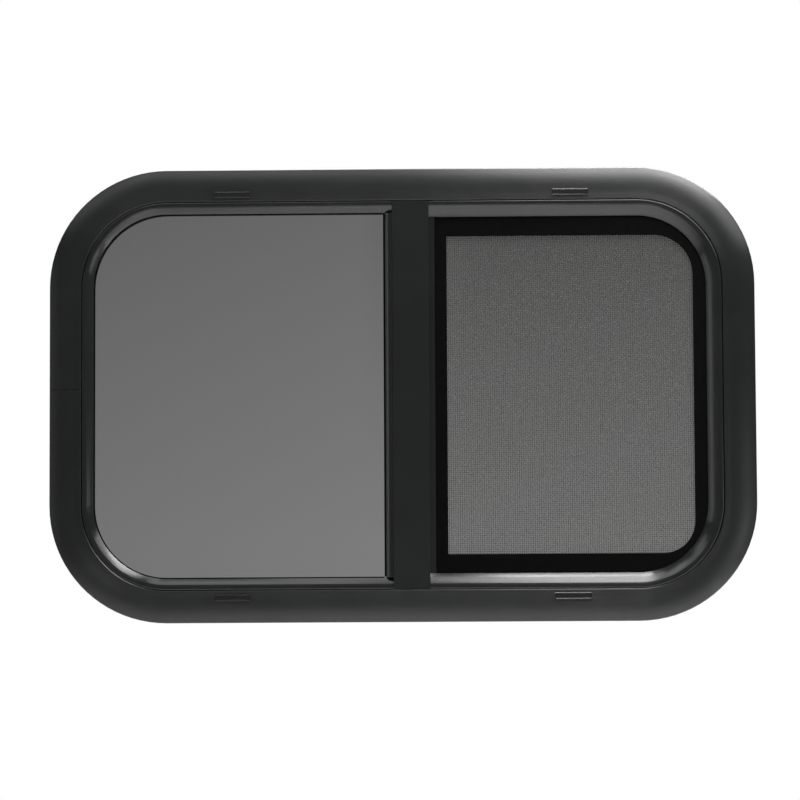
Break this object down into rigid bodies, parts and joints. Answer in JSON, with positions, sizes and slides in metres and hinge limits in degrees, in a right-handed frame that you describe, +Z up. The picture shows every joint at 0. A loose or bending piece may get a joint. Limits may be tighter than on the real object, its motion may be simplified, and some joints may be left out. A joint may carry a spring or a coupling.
{
  "type": "half-slider caravan window",
  "caption": "Half-slider window for a caravan or camper wall: bent black frame, fixed tinted pane, flyscreen before a sliding pane, centre mullion and inner clamp ring.",
  "frame": {"origin": "the middle of the window opening, on the plane of the outer wall skin, where the flange's back lies", "axes": "+X to the right as seen from outside, +Y into the vehicle through the wall, +Z up"},
  "size_m": [0.642, 0.0476, 0.413],
  "materials": {
    "powder_coat": "satin black powder coat on extruded aluminium",
    "satin_bead": "smoother satin black coat on the snap-in beads",
    "screen_frame": "matt black coat on the flyscreen's frame",
    "tinted_glass": "grey tinted toughened glass",
    "rubber_seal": "black glazing rubber",
    "foam_seal": "closed-cell sealing foam",
    "black_nylon": "black moulded nylon",
    "white_nylon": "natural nylon",
    "pile": "woven brush pile",
    "mesh": "grey woven glass-fibre insect mesh"
  },
  "bodies": {
    "root": {"outer_frame": "powder_coat", "left_bead": "satin_bead", "right_bead": "satin_bead", "centre_mullion": "powder_coat", "mullion_strip": "satin_bead", "fixed_glass": "tinted_glass", "fixed_glass_seal": "rubber_seal", "mullion_seal": "rubber_seal", "sliding_glass": "tinted_glass", "sliding_stile": "powder_coat", "slide_latch": "black_nylon", "latch_keeper": "black_nylon", "track_lining": "rubber_seal", "left_glide": "white_nylon", "right_glide": "white_nylon", "meeting_pile": "pile", "flyscreen_frame": "screen_frame", "flyscreen_mesh": "mesh", "flyscreen_spline": "rubber_seal", "top_left_weep_cover": "black_nylon", "top_right_weep_cover": "black_nylon", "bottom_left_weep_cover": "black_nylon", "bottom_right_weep_cover": "black_nylon", "wall_seal": "foam_seal", "clamp_ring": "powder_coat"}
  },
  "joints": []
}
